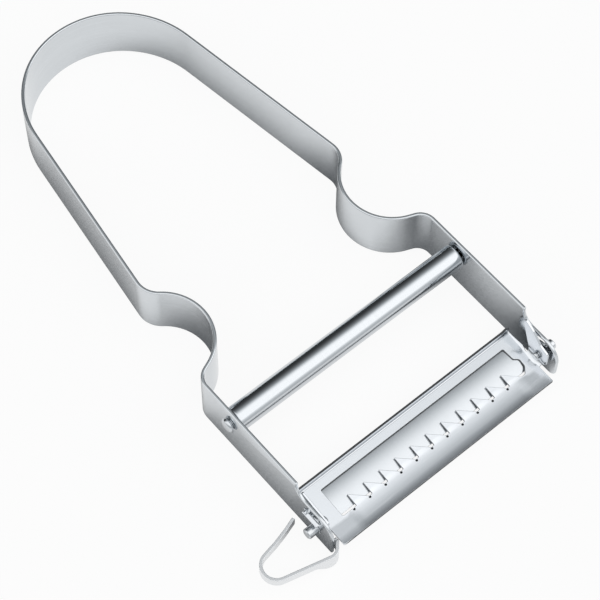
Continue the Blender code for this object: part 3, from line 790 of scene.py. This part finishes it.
def make_carrier():
    """The stamped sheet: upturned lip, toothed window, back flange, two folded ears and their stop pegs."""
    top, ear_front = SHEET.length, along(-1.75)
    outline = rounded([
        (-BACK_END, 0.0, 0.35), (LIP_END, 0.0, 0.35), (LIP_END, ear_front, 0.15),
        *ear_corners(1, RIGHT_EAR),
        (LIP_END + 0.1, along(2.3), 0.3), (BACK_END + 0.3, along(4.0), 0.5), (BACK_END, along(7.0), 0.6),
        (BACK_END, top, 0.25), (-BACK_END, top, 0.25), (-BACK_END, along(7.75), 0.1),
        *ear_corners(-1, LEFT_EAR),
        (-BACK_END, ear_front, 0.15)], steps=6)
    # Holes at the teeth's feet over near-black pits: painted shade for the dark gaps there.
    pits = np.stack([tooth_sides() - PIT_ASIDE, np.full(TEETH, along(PIT_Y))], axis=1).tolist()
    holes = [round_hole(on_blank(side, 0.0, 0.0), EAR_HOLE, sides=24) for side in (-1, 1)]
    holes += [round_hole(pit, PIT_RADIUS, sides=14) for pit in pits]
    u_levels, v_levels = carrier_levels()
    # The sheet's cut edges get painted shade: full along lip, flange and window, less on the teeth and ears.
    shell = plate(Shell(), [outline, window_loop()] + holes, SHEET_THICK, on_carrier, u_levels, v_levels,
                  edge=0.08, rim_shade=sheet_edge_shade)
    add_shade_pits(shell, pits)
    add_stops(shell)
    return shell.piece("toothed_carrier_sheet", sheet_steel)


# ---------------------------------------------------------------------------------------------
# The slicing blade
# ---------------------------------------------------------------------------------------------

SLICER_THICK, SLICER_LAP, SLICER_ARCH, SLICER_SIDE = 0.5, 2.1, 0.3, 1.9
SLICER_FRONT, SLICER_DROP, SLICER_GAP, SLICER_BEND = 0.8, 0.9, 0.03, 0.3
GRIND_WIDTH, GROUND_SHARE = 1.3, 0.15


def sheet_height(y):
    """Height of the middle of the carrier's flat sheet above the pivot, y behind it."""
    return (y - LIP_START) * SLOPE_SIN / SLOPE_COS - SHEET_DROP


def slicer_line():
    """The blade's middle in (y, z): arched from its front edge to the window's back edge, then flat under it.

    Half the arch's turn = 2 atan(arch / half chord), and its radius = half chord / sin of that.
    """
    edge_y = WINDOW_FRONT + SLICER_FRONT
    edge = np.array([edge_y, sheet_height(edge_y) - SLICER_DROP])
    under = (SHEET_THICK + SLICER_THICK) / 2
    back = np.array([WINDOW_BACK, sheet_height(WINDOW_BACK) - under - SLICER_GAP])
    run = back - edge
    chord = np.hypot(*run)
    half = 2 * np.arctan2(SLICER_ARCH, chord / 2)
    slope = np.arctan2(run[1], run[0])
    radius = chord / 2 / np.sin(half)
    meet = slope - half
    return Line(edge, slope + half, [
        (radius * 2 * half, -2 * half), (SLICER_BEND, np.radians(TILT) - meet),
        straight(SLICER_LAP / SLOPE_COS - SLICER_BEND)])


SLICER = slicer_line()


def on_slicer(u, v, w):
    """Place on the slicing blade; towards the front edge its underside is ground away to a thin edge."""
    y, z, heading = SLICER.at(v)
    share = np.clip(v / GRIND_WIDTH, 0.0, 1.0)
    level = np.where(w < 0, w * (GROUND_SHARE + (1 - GROUND_SHARE) * share), w)
    y, z = PIVOT_Y + y - level * np.sin(heading), PIVOT_Z + z + level * np.cos(heading)
    return np.stack([u, y, z], axis=-1)


def make_slicer():
    """The thin arched blade in the window, a little wider than it, and divided finely where it is ground."""
    end, back = WINDOW_X + SLICER_SIDE, SLICER.length
    outline = rounded([(-end, 0.0, 0.25), (end, 0.0, 0.25), (end, back, 0.3), (-end, back, 0.3)])
    levels = np.concatenate([[GRIND_WIDTH / 2, GRIND_WIDTH], SLICER.stops(2.0)[2:-1]])
    shell = plate(Shell(), [outline], SLICER_THICK, on_slicer, v_levels=levels, edge=0.06)
    return shell.piece("arched_slicing_blade", blade_steel)


# ---------------------------------------------------------------------------------------------
# The pins and the eye remover
# ---------------------------------------------------------------------------------------------

PIN_RADIUS, PIN_NECK, PIN_REACH = 1.2, 0.6, 2.6


def make_pin(side, name):
    """A pin with a riveted inner end, a neck in the ear, a shank in the arm and a chamfered outer tip."""
    head, shoulder, tip = EAR_MIDDLE_X - 0.65, EAR_MIDDLE_X + 0.65, OUTER_X + PIN_REACH
    profile = [(head - 0.5, 0.0, 0.0), (head - 0.48, 0.75, 0.4), (head, 1.1, 0.12), (head, PIN_NECK, 0.05),
               (shoulder, PIN_NECK, 0.05), (shoulder, PIN_RADIUS, 0.06), (tip - 0.25, PIN_RADIUS, 0.08),
               (tip, 0.95, 0.08), (tip, 0.0, 0.0)]
    profile = flipped(profile) if side < 0 else profile
    return turned(Shell(), profile, (PIVOT_Y, PIVOT_Z)).piece(name, pin_steel)


# The narrow strip: heights of its upper edge and of its lower one at root and loop, then its root
LOOP_THICK, LOOP_TOP, LOOP_FOOT, LOOP_LEG_FOOT = 0.7, 4.6, 0.2, 2.2
LOOP_GAP, ROOT_LENGTH, ROOT_FRONT = 0.3, 0.7, 0.2
LOOP = Line((-(INNER_X - LOOP_GAP - LOOP_THICK / 2), ARM_END_Y - ROOT_FRONT + ROOT_LENGTH), -PI / 2, [
    straight(ROOT_LENGTH), bend(0.6, -41), straight(1.4), bend(2.2, -63.6), straight(3.2), straight(7.3),
    bend(3.2, -157), bend(49.0, 11.5)])


def on_loop(u, v, w):
    """Distance u along the narrow strip, height v and depth w to its right, as on the bow."""
    x, y, heading = LOOP.at(u)
    return np.stack([x + w * np.sin(heading), y - w * np.cos(heading), v], axis=-1)


def make_eye_remover():
    """The narrow strip: a wide root fixed inside the arm, a taper, and a long loop beside the arm."""
    root, end, root_top = LOOP.stations[4] + 1.0, LOOP.length, LOOP_TOP - 0.3
    outline = rounded([
        (0.0, LOOP_FOOT, 0.2), (root, LOOP_FOOT, 1.2), (root + 2.2, LOOP_LEG_FOOT, 1.2),
        (end, LOOP_LEG_FOOT, 0.3), (end, LOOP_TOP, 0.3), (0.75, LOOP_TOP, 0.2), (0.65, root_top, 0.1),
        (0.0, root_top, 0.3)], steps=6)
    shell = plate(Shell(), [outline], LOOP_THICK, on_loop, u_levels=LOOP.stops(4.0)[1:-1], edge=0.12)
    return shell.piece("looped_eye_remover", loop_steel)


# ---------------------------------------------------------------------------------------------
# Floor, light and camera
# ---------------------------------------------------------------------------------------------

# How much of the floor glows for the camera, plain white, and in steel, as a painted shadow; the rest is lit
# as a surface
CAMERA_GLOW, MIRRORED_GLOW = 0.91, 0.85
WHITE = grey(1.0)


def make_floor():
    """A wide pale floor: a disc of rings with radius = reach * (ring share) squared.

    The camera sees it white with a trace of the object's shadow. In steel it shows a painted shadow made from
    ambient occlusion about a direction tilted towards the light: white where it is open that way, and dark in
    the nooks beside the strip.
    """
    rings, sides, reach = 24, 96, 3.0
    radius = reach * (np.arange(1, rings + 1)[:, None] / rings) ** 2
    a = 2 * PI * np.arange(sides) / sides
    centre = np.array([0.0, -0.066])
    x, y = centre[0] + radius * np.cos(a), centre[1] + radius * np.sin(a)
    points = np.stack([x, y, np.zeros_like(x)], axis=-1).reshape(-1, 3)
    points = np.concatenate([points, [[*centre, 0.0]]])
    index, after = ring_grid(rings, sides)
    faces = np.stack([index[:-1], index[1:], after[1:], after[:-1]], axis=-1).reshape(-1, 4).tolist()
    faces += np.stack([np.full(sides, rings * sides), index[0], after[0]], axis=1).tolist()
    mesh = bpy.data.meshes.new("pale_floor")
    mesh.from_pydata(points.tolist(), [], faces)
    finish = bpy.data.materials.new("pale_floor_finish")
    finish.use_nodes = True
    r = Recipe(finish.node_tree)
    grain = r.noise(r.node("TexCoord", output="Object"), 40.0, 3.0)
    camera_ray = r.node("LightPath", output="Is Camera Ray")
    glossy_ray = r.node("LightPath", output="Is Glossy Ray")
    clear_ray = r.node("LightPath", output="Is Transmission Ray")
    matt = r.node("BsdfPrincipled", {}, {
        "Base Color": r.colour(grain, grey(0.80), grey(0.83)), "Roughness": 0.9, "Specular IOR Level": 0.1})
    # Painted shadow for the floor seen in steel: occlusion about a tilted direction sets its glow from dark
    # to white.
    painted_shadow_tilt = r.node("CombineXYZ", {}, {"X": 0.62, "Y": -0.33, "Z": 0.71})
    reach_of_nooks = {"Distance": 0.016, "Normal": painted_shadow_tilt}
    open_share = r.node("AmbientOcclusion", {"samples": 12}, reach_of_nooks, output="AO")
    lit = r.node("MapRange", {}, {"Value": open_share, "From Min": 0.27, "From Max": 0.555})
    painted_floor_shadow = r.colour(lit, (0.03, 0.035, 0.04, 1.0), grey(0.93))
    glow = r.node("Emission", {}, {"Color": r.colour(camera_ray, painted_floor_shadow, WHITE)})
    share = CAMERA_GLOW * camera_ray + MIRRORED_GLOW * (glossy_ray + clear_ray)
    r.node("OutputMaterial", {}, {"Surface": r.node("MixShader", {}, {0: share, 1: matt, 2: glow})})
    mesh.materials.append(finish)
    floor = bpy.data.objects.new("pale_floor", mesh)
    bpy.context.scene.collection.objects.link(floor)


def make_world():
    """A large soft light overhead and in front, on the left, that fades towards the back and the right.

    The tilt of a direction is atan2(-y - 0.6 (x - 0.32), z), from -90 degrees at the back to 90 at the front.
    Brightness = the ramp at tilt / 180 + 0.5, times 1.35 + 0.25 x. Dim parts are a little cooler. The camera
    itself sees plain white.
    """
    world = bpy.data.worlds.new("studio_light")
    bpy.context.scene.world = world
    world.use_nodes = True
    r = Recipe(world.node_tree)
    toward = r.node("TexCoord", output="Generated")
    x, y, z = [r.node("SeparateXYZ", {}, {0: toward}, output=axis) for axis in "XYZ"]
    ahead = 0.0 - y - 0.6 * (x - 0.32)
    tilt = ahead.math("ARCTAN2", z.math("MAXIMUM", 0.0001)) / PI + 0.5
    stops = [(0.03, 0.030), (0.13, 0.033), (0.20, 0.05), (0.27, 0.10), (0.335, 0.19), (0.395, 0.35),
             (0.455, 0.65), (0.51, 0.90), (0.57, 1.0), (0.80, 1.0), (0.86, 0.66), (0.91, 0.50), (0.99, 0.44)]
    level = r.node("ValToRGB", {"stops": stops}, {"Fac": tilt})
    light = level * (1.35 + 0.25 * x)
    camera_ray = r.node("LightPath", output="Is Camera Ray")
    cast = r.colour(level, (0.90, 0.96, 1.0, 1.0), WHITE)
    even = r.node("CombineXYZ", {}, {"X": light, "Y": light, "Z": light})
    glow = r.node("Background", {}, {"Color": r.scaled(cast, even)})
    white = r.node("Background", {}, {"Color": WHITE, "Strength": 1.0})
    r.node("OutputWorld", {}, {"Surface": r.node("MixShader", {}, {0: camera_ray, 1: glow, 2: white})})


def place_camera():
    """The photograph's view: a lens at target + distance * back, turned by the roll.

    Axes: back = away from the object, right = level, up = back x right, the last two turned by the roll.
    """
    target, distance = Vector((-0.000576, -0.083611, 0.006)), 0.4645
    around, height, roll = np.radians(-40.9), np.radians(60.61), np.radians(0.79)
    back = Vector((np.sin(around) * np.cos(height), -np.cos(around) * np.cos(height), np.sin(height)))
    level = Vector((np.cos(around), np.sin(around), 0.0))
    upward = back.cross(level)
    right = level * np.cos(roll) + upward * np.sin(roll)
    up = upward * np.cos(roll) - level * np.sin(roll)
    lens = bpy.data.cameras.new("photo_camera")
    lens.lens, lens.sensor_width = 131.7, 36.0
    lens.clip_start, lens.clip_end = 0.01, 20.0
    camera = bpy.data.objects.new("photo_camera", lens)
    bpy.context.scene.collection.objects.link(camera)
    turn = Matrix((right, up, back)).transposed().to_4x4()
    camera.matrix_world = Matrix.Translation(target + back * distance) @ turn
    bpy.context.scene.camera = camera


def dress():
    """Makes every piece, sets it on its body and hides the node that it replaces; the rows' finish slot names
    are not read.
    """
    for piece, body, node, slot in (
            (make_bow(), "handle", "bow_handle", "satin_strip_steel"),
            (make_bar(), "handle", "cross_bar", "polished_bar_steel"),
            (make_eye_remover(), "handle", "eye_remover", "narrow_strip_steel"),
            (make_carrier(), "blade", "blade_carrier", "bright_sheet_steel"),
            (make_slicer(), "blade", "slicing_blade", "ground_blade_steel"),
            (make_pin(-1, "turned_pin_left"), "blade", "pivot_pin_left", "turned_pin_steel"),
            (make_pin(1, "turned_pin_right"), "blade", "pivot_pin_right", "turned_pin_steel")):
        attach(piece, body)
        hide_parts(node)


dress()
make_floor()
make_world()
place_camera()
bpy.context.scene.view_settings.view_transform = "Standard"


def corners(box):
    """A box's two corners as plain lists of numbers."""
    return [[float(x) for x in corner] for corner in box]
